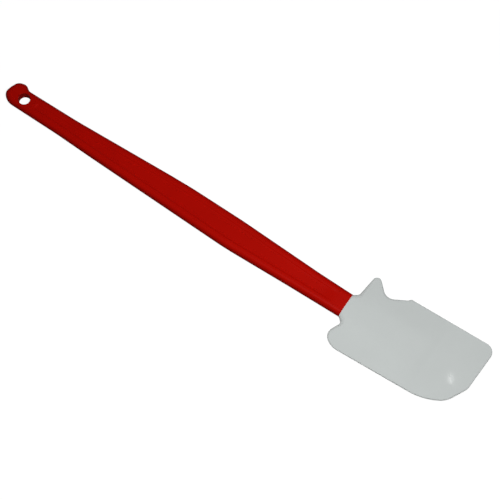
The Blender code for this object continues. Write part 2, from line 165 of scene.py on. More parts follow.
class SpatulaSizes(bpy.types.PropertyGroup):
    """Sizes of the handle and the blade."""

    handle_length: length("Handle length", 0.3098, "From the butt to the joint")
    thickness: length("Thickness", HANDLE_BOX[1].z - HANDLE_BOX[0].z, "Of the handle bar")
    side_flat: length("Side flat", 0.0005, "Height of the flat band between the round sides")
    butt_width: length("Butt width", 0.0162, "Width of the handle at its butt")
    joint_width: length("Joint width", 0.0197, "Width of the handle at the joint")
    side_blend: length("Side blend", 0.3000, "Radius that blends one width into the next")
    parting_ridge: length("Parting ridge", 0.00004, "How far the mould's parting line stands out")
    seam_round: length("Seam round", 0.00012, "Radius of the edges that meet at the joint")
    hole_diameter: length("Hole diameter", 0.0092, "Of the hanging hole")
    hole_setback: length("Hole setback", 0.0166, "From the butt to the middle of the hole")
    hole_edge: length("Hole edge", 0.0004, "Radius of the hole's edges")
    panel_depth: length("Panel depth", 0.0006, "Of the shallow panel in both faces")
    panel_cove: length("Panel cove", 0.0012, "Width of the cove at the panel's sides")
    panel_rail: length("Panel rail", 0.0055, "Width of the rail beside the panel")
    panel_start: length("Panel start", 0.0268, "From the butt to the panel")
    panel_floor_end: length("Panel floor end", 0.0200, "From the joint to the end of the panel's floor")
    panel_ramp_end: length("Panel ramp end", 0.0080, "From the joint to the end of the panel's ramp")
    panel_corner: length("Panel corner", 0.0020, "Radius of the panel's corners")
    blade_length: length("Blade length", 0.1094, "From the joint to the end of the blade")
    tang_length: length("Tang length", 0.0600, "How far the handle reaches into the blade")
    tang_end_width: length("Tang end width", 0.0108, "Width of the tang at its end")
    tang_corner: length("Tang corner", 0.0030, "Radius of the tang's corners")
    window_length: length("Window length", 0.0100, "Of each window in the tang")
    window_width: length("Window width", 0.0050, "Of each window in the tang")
    window_first: length("First window", 0.0140, "From the joint to the first window")
    window_last: length("Last window", 0.0060, "From the last window to the tang's end")
    face_cover: length("Face cover", 0.0018, "Silicone over the tang's faces")
    side_cover: length("Side cover", 0.0033, "Silicone beside the tang")
    end_cover: length("End cover", 0.0035, "Silicone past the tang's end")
    bond: length("Bond", 0.0003, "Running gap round the tang")
    flex_reach: length("Flex reach", 0.0120, "How far the bend spreads to each side of the flex line")


class SpatulaCrown(bpy.types.PropertyGroup):
    """Sizes of the blade's faces. Each is an input of the blade's tree under the same name."""

    crown_width: length("Crown Width", 0.0130, "Width of the even crown at the joint")
    crown_end_width: length("Crown End Width", 0.0180, "Width of the crown where it ends")
    crown_blend: length("Crown Blend", 0.0060, "Width of the blend from the crown to a flank")
    crown_end_thickness: length("Crown End Thickness", 0.0068, "Thickness where the crown ends")
    crown_runout: length("Crown Runout", 0.0110, "Length over which the crown runs out")
    runout_thickness: length("Runout Thickness", 0.0044, "Thickness where the crown has run out")
    rim_thickness: length("Rim Thickness", 0.0018, "Thickness at the rim")
    flank_reach: length("Flank Reach", 0.0330, "From the axis to the thin end of a flank")


class SpatulaFinish(bpy.types.PropertyGroup):
    """Colours and finish of the two mouldings, with the painted shade and light on their edges."""

    nylon: colour("Nylon", (0.405, 0.0030, 0.0006), "Colour of the handle")
    silicone: colour("Silicone", (0.54, 0.57, 0.56), "Colour of the blade")
    nylon_roughness: level("Nylon roughness", 0.36, "Roughness of the handle")
    silicone_roughness: level("Silicone roughness", 0.52, "Roughness of the blade")
    grain: length("Grain", 0.0006, "Size of the fine grain of the mould")
    # Painted shade: the handle's edges and its hole are darkened by the first factor. Painted light: the
    # blade's edges are lightened by the second.
    nylon_painted_shade: level("Nylon edge", 0.75, "Shade of the handle's edges against its faces", most=2.0)
    silicone_painted_light: level("Silicone edge", 1.30, "Shade of the blade's edges against its faces", most=2.0)
    end_gloss: level("End gloss", 0.0009, "Clear sheen of the blade's thin end")


class SpatulaStudio(bpy.types.PropertyGroup):
    """The camera and the lights."""

    azimuth: angle("Azimuth", 34.03, "Camera's turn about the vertical")
    elevation: angle("Elevation", 71.0, "Camera's angle above the floor")
    distance: length("Distance", 1.5, "From the camera to what it looks at")
    lens: level("Lens", 145.04, "Focal length in millimetres", most=1000.0)
    target: FloatVectorProperty(
        name="Target", description="What the camera looks at", default=(0.01697, -0.00406, 0.00425), size=3,
        subtype="XYZ", unit="LENGTH",
    )
    key_power: level("Key power", 3.50, "Power in watts of the soft key lamp", most=500.0)
    world_light: level("World light", 0.11, "Strength of the even light from all round", most=5.0)
    glint_power: level("Glint power", 2.0, "Power in watts of the small lamp for the sheen", most=50.0)


# Outlines with round corners


def between(start, end, share):
    """Value at a share of the way from start to end."""
    return start + (end - start) * share


def corner_shape(corners, index):
    """A corner's place, the unit directions to its neighbours, and half the angle between them."""
    place = Vector(corners[index][:2])
    back = (Vector(corners[index - 1][:2]) - place).normalized()
    ahead = (Vector(corners[(index + 1) % len(corners)][:2]) - place).normalized()
    return place, back, ahead, acos(min(max(back.dot(ahead), -1.0), 1.0)) / 2


def is_straight(half_angle, slack=0.001):
    """Whether an outline runs straight through a corner."""
    return half_angle > pi / 2 - slack


def limit_radii(corners, fit=0.98):
    """Reduce the radii of neighbouring corners whose arcs would not fit on the edge between them."""
    tangents = []
    for index, corner in enumerate(corners):
        half_angle = corner_shape(corners, index)[3]
        tangents.append(0.0 if is_straight(half_angle) else corner[2] / tan(half_angle))
    limited = []
    for index, (x, y, radius) in enumerate(corners):
        share = 1.0
        for other in (index - 1, (index + 1) % len(corners)):
            edge = (Vector(corners[other][:2]) - Vector((x, y))).length
            wanted = tangents[index] + tangents[other]
            if wanted > edge * fit:
                share = min(share, edge * fit / wanted)
        limited.append((x, y, radius * share))
    return limited


def inset_corners(corners, distance, least=0.0003):
    """The same anticlockwise outline moved inwards by a distance, each arc about its own centre."""
    moved = []
    for index, (x, y, radius) in enumerate(corners):
        place, back, ahead, half_angle = corner_shape(corners, index)
        convex = back.x * ahead.y - back.y * ahead.x < 0
        if is_straight(half_angle):
            inwards = Vector((-ahead.y, ahead.x))
        else:
            inwards = (back + ahead).normalized() * (1 if convex else -1)
        place = place + inwards * (distance / sin(half_angle))
        if radius > 0:
            radius = max(radius - distance if convex else radius + distance, least)
        moved.append((place.x, place.y, radius))
    return moved


def arc_points(corners, steps=ARC_STEPS):
    """Points of an outline given as corners (x, y, radius), each round corner drawn as an arc."""
    points = []
    for index, corner in enumerate(corners):
        place, back, ahead, half_angle = corner_shape(corners, index)
        radius = corner[2]
        if radius == 0 or is_straight(half_angle):
            points.append(place)
            continue
        centre = place + (back + ahead).normalized() * (radius / sin(half_angle))
        first = place + back * (radius / tan(half_angle)) - centre
        last = place + ahead * (radius / tan(half_angle)) - centre
        start = atan2(first.y, first.x)
        sweep = (atan2(last.y, last.x) - start + pi) % (2 * pi) - pi
        for step in range(steps + 1):
            turn = start + sweep * step / steps
            points.append(centre + radius * Vector((cos(turn), sin(turn))))
    return points


def outline_and_ways(corners):
    """Points along an outline, about a step apart or less, and the way inwards at each of them."""
    small = SUPPORT / 2
    outer = arc_points(corners)
    inner = arc_points(inset_corners(corners, small))
    points, ways = [], []
    for index, place in enumerate(outer):
        after = (index + 1) % len(outer)
        count = max(1, round((outer[after] - place).length / OUTLINE_STEP))
        for part in range(count):
            point = place.lerp(outer[after], part / count)
            inside = inner[index].lerp(inner[after], part / count)
            points.append(point)
            ways.append((inside - point) / small)
    return points, ways


def well_inside(points, ring, margin):
    """The points that lie inside a ring and at least a margin away from it."""
    points = np.array([tuple(point) for point in points])
    start = np.array([tuple(point) for point in ring])
    end = np.roll(start, -1, axis=0)
    span = end - start
    away = points[:, None] - start
    share = np.clip((away * span).sum(2) / (span**2).sum(1), 0.0, 1.0)
    nearest = np.linalg.norm(away - share[..., None] * span, axis=2).min(axis=1)
    x, y = points[:, :1], points[:, 1:]
    straddles = (start[:, 1] > y) != (end[:, 1] > y)
    rise = np.where(span[:, 1] == 0, 1.0, span[:, 1])
    crosses = straddles & (x < start[:, 0] + (y - start[:, 1]) * span[:, 0] / rise)
    kept = (nearest > margin) & (crosses.sum(1) % 2 == 1)
    return [Vector(point) for point in points[kept]]


def grid_over(ring):
    """Evenly staggered points over the box of a ring."""
    low = Vector((min(p.x for p in ring), min(p.y for p in ring)))
    high = Vector((max(p.x for p in ring), max(p.y for p in ring)))
    points = []
    for row in range(int((high.y - low.y) / GRID_STEP) + 1):
        for column in range(int((high.x - low.x) / GRID_STEP) + 1):
            points.append(low + Vector((column + 0.5 * (row % 2), row)) * GRID_STEP)
    return points


# Outlines of this spatula


def handle_side(sizes, side):
    """Half widths of the handle along one of its sides, as (x, half width), butt first."""
    belly = [(-back, half) for back, half in HANDLE_HALF_WIDTHS[side]]
    return [(-sizes.handle_length, sizes.butt_width / 2), *belly, (0.0, sizes.joint_width / 2)]


def handle_corners(sizes):
    """Outline of the handle, carried past the joint, where it is then cut square."""
    rows = []
    for side in (-1, 1):
        row = [(x, side * half, sizes.side_blend) for x, half in handle_side(sizes, side)[1:-1]]
        rows.append(row + [(x, side * sizes.joint_width / 2, 0.0) for x in (0.0, OVERCUT)])
    butt_x, half = -sizes.handle_length, sizes.butt_width / 2
    nose = [(butt_x + along, half + rise, radius) for along, rise, radius in HOOK]
    nose += [(butt_x + along, across, radius) for along, across, radius in NOSE]
    nose.append((butt_x + HEEL[0], -half, HEEL[1]))
    return limit_radii(rows[0] + rows[1][::-1] + nose)


def panel_corners(sizes, share):
    """Outline of the panel at a share of its depth: coves at its sides, a long ramp at its front."""
    inset = sizes.panel_cove * share
    start = -sizes.handle_length + sizes.panel_start + inset
    end = -between(sizes.panel_ramp_end, sizes.panel_floor_end, share)
    rows = []
    for side in (-1, 1):
        xs, halves = zip(*handle_side(sizes, side))
        row = []
        for x in [start, *(x for x in xs if start < x < end), end]:
            across = float(np.interp(x, xs, halves)) - sizes.panel_rail - inset
            radius = sizes.panel_corner - inset if x in (start, end) else sizes.side_blend
            row.append((x, side * across, radius))
        rows.append(row)
    return limit_radii(rows[0] + rows[1][::-1])


def blade_corners(sizes):
    """Outline of the blade, carried back past the joint, where it is then cut square."""
    neck = sizes.joint_width / 2
    corners = [(0.0, -neck, 0.0), (ARMPIT[0], -neck - ARMPIT[1], ARMPIT[2]), *BLADE_SHOULDER]
    corners += [(sizes.blade_length - back, across, radius) for back, across, radius in BLADE_END]
    corners += [*BLADE_NOTCH, (NECK_FLARE[0], neck + NECK_FLARE[1], NECK_FLARE[2])]
    corners += [(0.0, neck, 0.0), (-OVERCUT, neck, 0.0), (-OVERCUT, -neck, 0.0)]
    return limit_radii(corners)


# Nets: flat meshes whose points carry what a tree needs to give them their height


class Net:
    """Points, faces and the values that each point carries."""

    def __init__(self):
        self.places = []
        self.faces = []
        self.values = {"way": [], "turn": [], "side": [], "depth": [], "panel": []}

    def ring(self, points, ways=None, **values):
        """Add points that share their values, and return their numbers."""
        first = len(self.places)
        self.places += [(point.x, point.y, 0.0) for point in points]
        ways = ways or [Vector((0.0, 0.0))] * len(points)
        self.values["way"] += [(way.x, way.y, 0.0) for way in ways]
        for name in ("turn", "side", "depth", "panel"):
            self.values[name] += [values.get(name, 0.0)] * len(points)
        return list(range(first, len(self.places)))

    def band(self, lower, upper):
        """Faces between two rings of as many points."""
        for index in range(len(lower)):
            after = (index + 1) % len(lower)
            self.faces.append((lower[index], lower[after], upper[after], upper[index]))

    def edge(self, points, ways, depth=0.0):
        """Add the round edge along an outline, and return its lowest and highest ring."""
        turns = [pi / 2 * step / EDGE_STEPS for step in range(EDGE_STEPS + 1)]
        rings = [self.ring(points, ways, turn=turn, side=-1.0, depth=depth) for turn in turns[::-1]]
        rings.append(self.ring(points, ways, depth=depth))
        rings += [self.ring(points, ways, turn=turn, side=1.0, depth=depth) for turn in turns]
        for lower, upper in zip(rings, rings[1:]):
            self.band(lower, upper)
        return rings[0], rings[-1]

    def face(self, side, loops, points):
        """A face inside the first of some loops (flat points and their numbers), through all points."""
        flat, numbers, edges = [], [], []
        for loop, ids in loops:
            first = len(flat)
            flat += [point.copy() for point in loop]
            numbers += ids
            edges += [(first + i, first + (i + 1) % len(loop)) for i in range(len(loop))]
        for place, panel in points:
            flat.append(place)
            numbers += self.ring([place], turn=pi / 2, side=side, panel=panel)
        outer = list(range(len(loops[0][0])))
        spanned = delaunay_2d_cdt(flat, edges, [outer], 1, TINY)
        faces, origins = spanned[2], spanned[3]
        for face in faces:
            ids = [numbers[min(origins[index])] for index in face]
            self.faces.append(tuple(ids[:: int(side)]))

    def mesh(self, name):
        """The net as a mesh with its values as attributes."""
        mesh = bpy.data.meshes.new(name)
        mesh.from_pydata(self.places, [], self.faces)
        for key, values in self.values.items():
            kind = "FLOAT_VECTOR" if key == "way" else "FLOAT"
            attribute = mesh.attributes.new(key, kind, "POINT")
            attribute.data.foreach_set("vector" if key == "way" else "value", np.ravel(values))
        return mesh


# Node trees


def node(tree, kind, inputs=(), output=0, **options):
    """Add a node, set its options, feed its inputs by place or by name, and return one output."""
    made = tree.nodes.new(kind)
    for key, value in options.items():
        setattr(made, key, value)
    for key, value in inputs.items() if isinstance(inputs, dict) else enumerate(inputs):
        if isinstance(value, bpy.types.NodeSocket):
            tree.links.new(value, made.inputs[key])
        elif value is not None:
            made.inputs[key].default_value = value
    return made.outputs[output]


def maths(tree, operation, *inputs, clamp=False):
    """A Math node."""
    return node(tree, "ShaderNodeMath", inputs, operation=operation, use_clamp=clamp)


def moved_along(tree, place, way, distance):
    """A place moved along a way."""
    scaled = node(tree, "ShaderNodeVectorMath", {0: way, "Scale": distance}, operation="SCALE")
    return node(tree, "ShaderNodeVectorMath", (place, scaled), operation="ADD")


def mapped(tree, value, from_low, from_high, to_low, to_high, easing="LINEAR"):
    """A Map Range node that holds its ends."""
    inputs = (value, from_low, from_high, to_low, to_high)
    return node(tree, "ShaderNodeMapRange", inputs, interpolation_type=easing, clamp=True)


def group_tree(kind, name, inputs, outputs):
    """A new tree with named sockets, and its inputs and its output node."""
    tree = bpy.data.node_groups.new(name, kind)
    for sockets, way in ((inputs, "INPUT"), (outputs, "OUTPUT")):
        for label, socket_type in sockets.items():
            tree.interface.new_socket(name=label, in_out=way, socket_type="NodeSocket" + socket_type)
    given = tree.nodes.new("NodeGroupInput").outputs
    result = tree.nodes.new("NodeGroupOutput").inputs
    return tree, given, result


def use_group(tree, group, inputs, output=0):
    """Place a group in a tree."""
    kind = "GeometryNodeGroup" if tree.bl_idname == "GeometryNodeTree" else "ShaderNodeGroup"
    return node(tree, kind, inputs, output, node_tree=group)


def named_value(tree, name, kind="FLOAT"):
    """What the points of a net carry under a name."""
    return node(tree, "GeometryNodeInputNamedAttribute", {"Name": name}, data_type=kind)


def rounded_edge_group():
    """Where a point of a round edge lies, from its place on the outline and its turn round the edge."""
    inputs = {
        "Place": "Vector", "Way": "Vector", "Turn": "Float", "Side": "Float",
        "Half Thickness": "Float", "Depth": "Float", "Parting Ridge": "Float",
    }
    tree, given, result = group_tree("GeometryNodeTree", "Rounded edge", inputs, {"Position": "Vector"})
    fallen = maths(tree, "SUBTRACT", 1.0, maths(tree, "COSINE", given["Turn"]))
    inwards = maths(tree, "MULTIPLY", given["Depth"], fallen)
    mid_plane = maths(tree, "SUBTRACT", 1.0, maths(tree, "ABSOLUTE", given["Side"]))
    inwards = maths(tree, "SUBTRACT", inwards, maths(tree, "MULTIPLY", mid_plane, given["Parting Ridge"]))
    flat = moved_along(tree, given["Place"], given["Way"], inwards)
    risen = maths(tree, "MULTIPLY", given["Depth"], maths(tree, "SINE", given["Turn"]))
    foot = maths(tree, "SUBTRACT", given["Half Thickness"], given["Depth"])
    height = maths(tree, "MULTIPLY", given["Side"], maths(tree, "ADD", foot, risen))
    up = node(tree, "ShaderNodeCombineXYZ", {"Z": height})
    total = node(tree, "ShaderNodeVectorMath", (flat, up), operation="ADD")
    tree.links.new(total, result["Position"])
    return tree


def form_tree(name, sizes):
    """A new tree for a form, with its inputs and its output node."""
    inputs = {"Geometry": "Geometry", "Material": "Material", **{label: "Float" for label in sizes}}
    return group_tree("GeometryNodeTree", name, inputs, {"Geometry": "Geometry"})


def close_form(tree, given, result, edge_round, half, depth):
    """End a form's tree: place the points, shade them smooth and give the material."""
    position = use_group(tree, edge_round, {
        "Place": node(tree, "GeometryNodeInputPosition"), "Way": named_value(tree, "way", "FLOAT_VECTOR"),
        "Turn": named_value(tree, "turn"), "Side": named_value(tree, "side"), "Half Thickness": half,
        "Depth": depth, "Parting Ridge": given["Parting Ridge"],
    })
    placed = node(tree, "GeometryNodeSetPosition", {"Geometry": given["Geometry"], "Position": position})
    smooth = node(tree, "GeometryNodeSetShadeSmooth", {"Geometry": placed})
    real = node(tree, "GeometryNodeRealizeInstances", (smooth,))
    done = node(tree, "GeometryNodeSetMaterial", {"Geometry": real, "Material": given["Material"]})
    tree.links.new(done, result["Geometry"])


def handle_form(edge_round):
    """The handle's tree: round sides and the shallow panel in both faces."""
    tree, given, result = form_tree("Handle form", ("Thickness", "Panel Depth", "Parting Ridge"))
    sunk = mapped(tree, named_value(tree, "panel"), 0.0, 1.0, 0.0, given["Panel Depth"], "SMOOTHSTEP")
    half = maths(tree, "SUBTRACT", maths(tree, "MULTIPLY", given["Thickness"], 0.5), sunk)
    close_form(tree, given, result, edge_round, half, named_value(tree, "depth"))
    return tree


CROWN_INPUTS = (
    "Thickness", "Crown End", "Blade Length", "Crown Width", "Crown End Width", "Crown Blend",
    "Crown End Thickness", "Crown Runout", "Runout Thickness", "Rim Thickness", "Flank Reach",
)


def blade_thickness_group():
    """Half thickness of the blade at a place: an even crown that runs out, and flanks to the rim."""
    inputs = {"Place": "Vector", **{name: "Float" for name in CROWN_INPUTS}}
    outputs = {"Half Thickness": "Float"}
    tree, given, result = group_tree("GeometryNodeTree", "Blade thickness", inputs, outputs)
    half = {name: maths(tree, "MULTIPLY", given[name], 0.5) for name in CROWN_INPUTS}
    split = node(tree, "ShaderNodeSeparateXYZ", (given["Place"],)).node
    x, y = split.outputs[0], split.outputs[1]
    crown_end = given["Crown End"]
    runout_end = maths(tree, "ADD", crown_end, given["Crown Runout"])
    edge = mapped(tree, x, 0.0, crown_end, half["Crown Width"], half["Crown End Width"])
    crown = mapped(tree, x, 0.0, crown_end, half["Thickness"], half["Crown End Thickness"])
    drop = maths(tree, "SUBTRACT", half["Runout Thickness"], half["Crown End Thickness"])
    crown = maths(tree, "ADD", crown, mapped(tree, x, crown_end, runout_end, 0.0, drop, "SMOOTHSTEP"))
    drop = maths(tree, "SUBTRACT", half["Rim Thickness"], half["Runout Thickness"])
    crown = maths(tree, "ADD", crown, mapped(tree, x, runout_end, given["Blade Length"], 0.0, drop))
    past = maths(tree, "SUBTRACT", maths(tree, "ABSOLUTE", y), edge)
    curved = mapped(tree, past, 0.0, given["Crown Blend"], 0.0, given["Crown Blend"])
    curved = maths(tree, "DIVIDE", maths(tree, "MULTIPLY", curved, curved), given["Crown Blend"])
    sloped = maths(tree, "MAXIMUM", maths(tree, "SUBTRACT", past, given["Crown Blend"]), 0.0)
    fall = maths(tree, "ADD", maths(tree, "MULTIPLY", curved, 0.5), sloped)
    whole = maths(tree, "SUBTRACT", maths(tree, "SUBTRACT", given["Flank Reach"], edge), half["Crown Blend"])
    thickness = mapped(tree, maths(tree, "DIVIDE", fall, whole), 0.0, 1.0, crown, half["Rim Thickness"])
    tree.links.new(thickness, result["Half Thickness"])
    return tree


def blade_form(edge_round):
    """The blade's tree: faces by the thickness rule, and an edge round as deep as the blade is there.

    The blade's depth is read where the round ends, and the round ends as far in as that depth, so the
    two are worked out in passes.
    """
    tree, given, result = form_tree("Blade form", ("Side Flat", "Parting Ridge", *CROWN_INPUTS))
    rule = blade_thickness_group()
    place = node(tree, "GeometryNodeInputPosition")
    way = named_value(tree, "way", "FLOAT_VECTOR")
    half_flat = maths(tree, "MULTIPLY", given["Side Flat"], 0.5)
    reached = place
    for _ in range(DEPTH_PASSES):
        half = use_group(tree, rule, {"Place": reached, **{name: given[name] for name in CROWN_INPUTS}})
        depth = maths(tree, "SUBTRACT", half, half_flat)
        reached = moved_along(tree, place, way, depth)
    close_form(tree, given, result, edge_round, half, depth)
    return tree


def linked(name, data):
    """A new object in the scene."""
    obj = bpy.data.objects.new(name, data)
    bpy.context.scene.collection.objects.link(obj)
    return obj


def evaluated_mesh(obj, name):
    """The mesh of an object with its modifiers applied, the object being removed."""
    bpy.context.view_layer.update()
    depsgraph = bpy.context.evaluated_depsgraph_get()
    mesh = bpy.data.meshes.new_from_object(obj.evaluated_get(depsgraph), depsgraph=depsgraph)
    mesh.name = name
    bpy.data.objects.remove(obj, do_unlink=True)
    return mesh


def formed(mesh, tree, values):
    """A net given its shape by a tree whose named inputs get these values."""
    obj = linked(mesh.name, mesh)
    modifier = obj.modifiers.new("Form", "NODES")
    modifier.node_group = tree
    for item in tree.interface.items_tree:
        if item.in_out == "INPUT" and item.name in values:
            modifier[item.identifier] = values[item.name]
    return evaluated_mesh(obj, mesh.name)


# Solids inside the joint, and cuts


def loft_mesh(name, rings):
    """A closed mesh through rings of points, with a flat face on each end."""
    bm = bmesh.new()
    loops = [[bm.verts.new(point) for point in ring] for ring in rings]
    for lower, upper in zip(loops, loops[1:]):
        for index in range(len(lower)):
            after = (index + 1) % len(lower)
            bm.faces.new((lower[index], lower[after], upper[after], upper[index]))
    bm.faces.new(loops[0][::-1])
    bm.faces.new(loops[-1])
    bmesh.ops.recalc_face_normals(bm, faces=bm.faces)
    mesh = bpy.data.meshes.new(name)
    bm.to_mesh(mesh)
    bm.free()
    return mesh


def tang_mesh(sizes, crown, clearance, start=-0.005):
    """The tang, or with a clearance the hollow that holds it, from a start short of the joint."""
    root = sizes.joint_width / 2 - sizes.side_cover - sizes.bond
    end = sizes.tang_end_width / 2
    reach = sizes.tang_length
    corners = [
        (0.0, -root, 0.0), (reach, -end, sizes.tang_corner), (reach, end, sizes.tang_corner),
        (0.0, root, 0.0), (start, root, 0.0), (start, -root, 0.0),
    ]
    outline = arc_points(inset_corners(limit_radii(corners), -clearance), INNER_ARC_STEPS)
    inside = sizes.face_cover + sizes.bond - clearance
    crown_end = reach + sizes.end_cover
    rings = []
    for side in (-1, 1):
        ring = []
        for point in outline:
            half = between(sizes.thickness, crown.crown_end_thickness, point.x / crown_end) / 2
            ring.append(Vector((point.x, point.y, side * (half - inside))))
        rings.append(ring)
    return loft_mesh("tang", rings)


def window_mesh(sizes, index, clearance, half_height):
    """One window of the tang, or with a clearance the silicone that fills it."""
    last = sizes.tang_length - sizes.window_last - sizes.window_length
    start = between(sizes.window_first, last, index / (WINDOWS - 1))
    end = start + sizes.window_length
    half = sizes.window_width / 2
    corners = [(start, -half, half), (end, -half, half), (end, half, half), (start, half, half)]
    outline = arc_points(inset_corners(limit_radii(corners), clearance), INNER_ARC_STEPS)
    rings = [[Vector((p.x, p.y, z)) for p in outline] for z in (-half_height, half_height)]
    return loft_mesh("window", rings)


def combined(mesh, steps):
    """A mesh after exact Booleans with other meshes, given as (operation, mesh)."""
    obj = linked(mesh.name, mesh)
    tools = []
    for operation, other in steps:
        tool = linked(other.name, other)
        modifier = obj.modifiers.new(operation.title(), "BOOLEAN")
        modifier.operation = operation
        modifier.solver = "EXACT"
        modifier.object = tool
        tools.append(tool)
    made = evaluated_mesh(obj, mesh.name)
    for tool in tools:
        bpy.data.objects.remove(tool, do_unlink=True)
    return made


def cut_at_joint(mesh, keep_side, sizes):
    """Cut the neck of a mesh square at the joint, close it and round the new edge."""
    bm = bmesh.new()
    bm.from_mesh(mesh)
    neck = [vert for vert in bm.verts if abs(vert.co.y) < NECK_REACH * sizes.joint_width / 2]
    inside = set(neck)
    neck += [item for item in (*bm.edges, *bm.faces) if inside.issuperset(item.verts)]
    cut = bmesh.ops.bisect_plane(
        bm, geom=neck, dist=TINY, plane_co=(0, 0, 0), plane_no=(-keep_side, 0, 0), clear_outer=True
    )
    edges = [item for item in cut["geom_cut"] if isinstance(item, bmesh.types.BMEdge)]
    bmesh.ops.edgeloop_fill(bm, edges=edges)
    bmesh.ops.recalc_face_normals(bm, faces=bm.faces)
    edges = [edge for edge in edges if edge.is_valid]
    bmesh.ops.bevel(
        bm, geom=edges, offset=sizes.seam_round, segments=3, profile=0.5, affect="EDGES", clamp_overlap=True
    )
    bm.to_mesh(mesh)
    bm.free()
    return mesh


# Materials


def shader_tree(name):
    """A new material, its tree and its Principled shader."""
    material = bpy.data.materials.new(name)
    material.use_nodes = True
    return material, material.node_tree, material.node_tree.nodes["Principled BSDF"]


def grain_group(drift_height=0.3):
    """Fine grain and broad drift of a moulded surface, with a share of the drift in its height."""
    inputs = {"Vector": "Vector", "Grain Size": "Float", "Drift Size": "Float"}
    outputs = {"Height": "Float", "Fine": "Float", "Drift": "Float"}
    tree, given, result = group_tree("ShaderNodeTree", "Moulded grain", inputs, outputs)
    noises = []
    for size, detail in (("Grain Size", 3.0), ("Drift Size", 4.0)):
        scale = maths(tree, "DIVIDE", 1.0, given[size])
        noises.append(node(tree, "ShaderNodeTexNoise", {
            "Vector": given["Vector"], "Scale": scale, "Detail": detail, "Roughness": 0.6,
        }))
    fine, drift = noises
    tree.links.new(fine, result["Fine"])
    tree.links.new(drift, result["Drift"])
    tree.links.new(maths(tree, "MULTIPLY_ADD", drift, drift_height, fine), result["Height"])
    return tree


def painted_edge_light_group(fade=(0.35, 1.2), patches_per_metre=90.0, least=0.8):
    """Where a moulding's edges get painted shade or painted light and more roughness: all along them, fading
    to the faces, a little uneven.
    """
    inputs = {"Vector": "Vector", "Turn": "Float"}
    tree, given, result = group_tree("ShaderNodeTree", "Painted edge light and shade", inputs, {"Mask": "Float"})
    edge = mapped(tree, given["Turn"], *fade, 1.0, 0.0, "SMOOTHSTEP")
    patch = node(tree, "ShaderNodeTexNoise", {
        "Vector": given["Vector"], "Scale": patches_per_metre, "Detail": 4.0,
    })
    uneven = mapped(tree, patch, *NOISE_SPAN, least, 1.0)
    tree.links.new(maths(tree, "MULTIPLY", edge, uneven), result["Mask"])
    return tree


def mixed(tree, share, first, second):
    """A colour mix."""
    inputs = {0: share, 6: first, 7: second}
    return node(tree, "ShaderNodeMix", inputs, output=2, data_type="RGBA", clamp_factor=True)


def tinted(base, factor):
    """A colour made lighter or darker, as four numbers."""
    return (*[min(channel * factor, 1.0) for channel in base], 1.0)


def moulded_material(
    name, base, groups, grain_size, drift_share, painted_edge_shading, roughness, spread, bump,
    drift_size=0.035, grain_height=0.00005, **plain
):
    """A moulded plastic or rubber: colour drift, grain in roughness and height, painted shade or light on
    its edges.
    """
    grain_tree, edge_tree = groups
    material, tree, shader = shader_tree(name)
    place = node(tree, "ShaderNodeTexCoord", output="Object")
    sizes = {"Grain Size": grain_size, "Drift Size": drift_size}
    grain = use_group(tree, grain_tree, {"Vector": place, **sizes}).node
    turn = node(tree, "ShaderNodeAttribute", output="Fac", attribute_name="turn")
    mask = use_group(tree, edge_tree, {"Vector": place, "Turn": turn})
    drift = mapped(tree, grain.outputs["Drift"], *NOISE_SPAN, 0.0, 1.0)
    body = mixed(tree, drift, tinted(base, 1 - drift_share), tinted(base, 1 + drift_share))
    # Edges darkened or lightened by the mask: painted shade or painted light, not a colour of the moulding
    shaded = mixed(tree, mask, body, tinted(base, painted_edge_shading))
    tree.links.new(shaded, shader.inputs["Base Color"])
    rough = mapped(tree, grain.outputs["Fine"], 0.3, 0.7, roughness - spread, roughness + spread)
    tree.links.new(maths(tree, "MULTIPLY_ADD", mask, EDGE_ROUGHNESS, rough), shader.inputs["Roughness"])
    normal = node(tree, "ShaderNodeBump", {
        "Strength": bump, "Distance": grain_height, "Height": grain.outputs["Height"],
    })
    tree.links.new(normal, shader.inputs["Normal"])
    for key, value in plain.items():
        shader.inputs[key.replace("_", " ")].default_value = value
    return tree, shader, place


def make_materials(finish):
    """The two mouldings' materials. The blade's has a clear sheen towards its thin end."""
    groups = (grain_group(), painted_edge_light_group())
    # The handle's edges and hole get painted shade, the blade's edges get painted light
    moulded_material(
        "red_nylon_moulding", finish.nylon, groups, finish.grain, drift_share=0.03, spread=0.05, bump=0.35,
        painted_edge_shading=finish.nylon_painted_shade, roughness=finish.nylon_roughness, Specular_IOR_Level=0.02,
    )
    tree, shader, place = moulded_material(
        "pale_silicone_moulding", finish.silicone, groups, finish.grain, drift_share=0.012, spread=0.04,
        bump=0.25, painted_edge_shading=finish.silicone_painted_light, roughness=finish.silicone_roughness,
        Specular_IOR_Level=0.04, Coat_Roughness=0.04,
    )
    along = node(tree, "ShaderNodeSeparateXYZ", (place,))
    start, end = [joint_place().x + x for x in GLOSS]
    gloss = mapped(tree, along, start, end, 0.0, finish.end_gloss, "SMOOTHSTEP")
    tree.links.new(gloss, shader.inputs["Coat Weight"])


class SPATULA_OT_materials(bpy.types.Operator):
    """Make the materials of the two mouldings"""

    bl_idname = "spatula.materials"
    bl_label = "Materials"

    def execute(self, context):
        make_materials(settings()[2])
        return {"FINISHED"}


# Pieces


def settings():
    """Sizes, crown, finish and studio of the scene."""
    scene = bpy.context.scene
    return scene.spatula_sizes, scene.spatula_crown, scene.spatula_finish, scene.spatula_studio


def joint_place():
    """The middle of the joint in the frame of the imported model."""
    low, high = HANDLE_BOX
    x = high.x - bpy.context.scene.spatula_sizes.tang_length
    return Vector((x, (low.y + high.y) / 2, (low.z + high.z) / 2))


def finished_piece(name, mesh, sharpest=radians(40)):
    """A piece whose mesh is in place, shaded smooth with sharp real corners."""
    mesh.transform(Matrix.Translation(joint_place()))
    mesh.shade_smooth()
    mesh.set_sharp_from_angle(angle=sharpest)
    mesh.name = name
    return linked(name, mesh)


